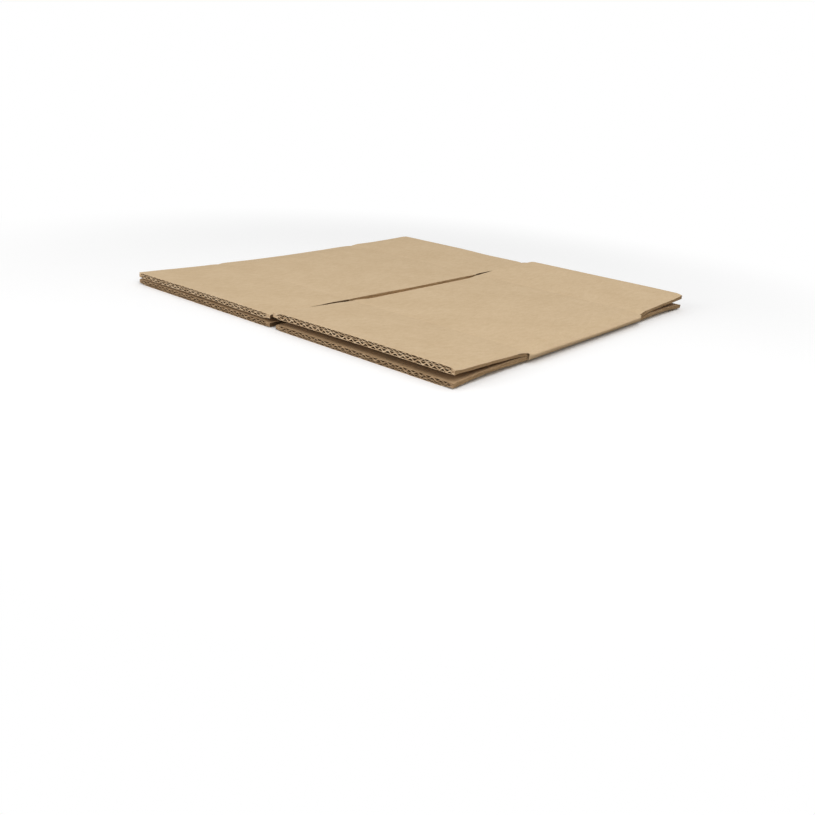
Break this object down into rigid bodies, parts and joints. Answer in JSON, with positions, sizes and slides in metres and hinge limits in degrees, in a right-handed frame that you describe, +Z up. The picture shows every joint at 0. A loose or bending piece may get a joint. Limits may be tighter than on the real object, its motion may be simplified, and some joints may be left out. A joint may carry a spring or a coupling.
{
  "type": "flattened cardboard box",
  "caption": "Square double-wall corrugated carton folded flat, with a glued joint, open fluted edges and slotted end flaps that lift at their score lines.",
  "frame": {"origin": "centre of the flattened carton's bounding box, on the surface that it lies on", "axes": "+Z up through the two layers of board; X from the left folded edge to the right one; Y along the flutes, with the near flaps at -Y and the far flaps at +Y"},
  "size_m": [0.406, 0.4092, 0.0173],
  "materials": {
    "kraft_board": "matte brown kraft paper"
  },
  "bodies": {
    "sleeve": {"sleeve": "kraft_board"},
    "near_left_flap": {"near_left_flap": "kraft_board"},
    "near_right_flap": {"near_right_flap": "kraft_board"},
    "far_left_flap": {"far_left_flap": "kraft_board"},
    "far_right_flap": {"far_right_flap": "kraft_board"}
  },
  "joints": [
    {"name": "near_left_score", "type": "hinge", "parent": "sleeve", "child": "near_left_flap", "pos_m": [-0.10113, -0.1035, 0.0111], "axis": [-1, 0, 0], "range_deg": [0, 165]},
    {"name": "near_right_score", "type": "hinge", "parent": "sleeve", "child": "near_right_flap", "pos_m": [0.09963, -0.1035, 0.0111], "axis": [-1, 0, 0], "range_deg": [-2.6, 162.4]},
    {"name": "far_left_score", "type": "hinge", "parent": "sleeve", "child": "far_left_flap", "pos_m": [-0.10113, 0.1035, 0.0111], "axis": [1, 0, 0], "range_deg": [-1.3, 163.7]},
    {"name": "far_right_score", "type": "hinge", "parent": "sleeve", "child": "far_right_flap", "pos_m": [0.09963, 0.1035, 0.0111], "axis": [1, 0, 0], "range_deg": [-3.5, 161.5]}
  ]
}
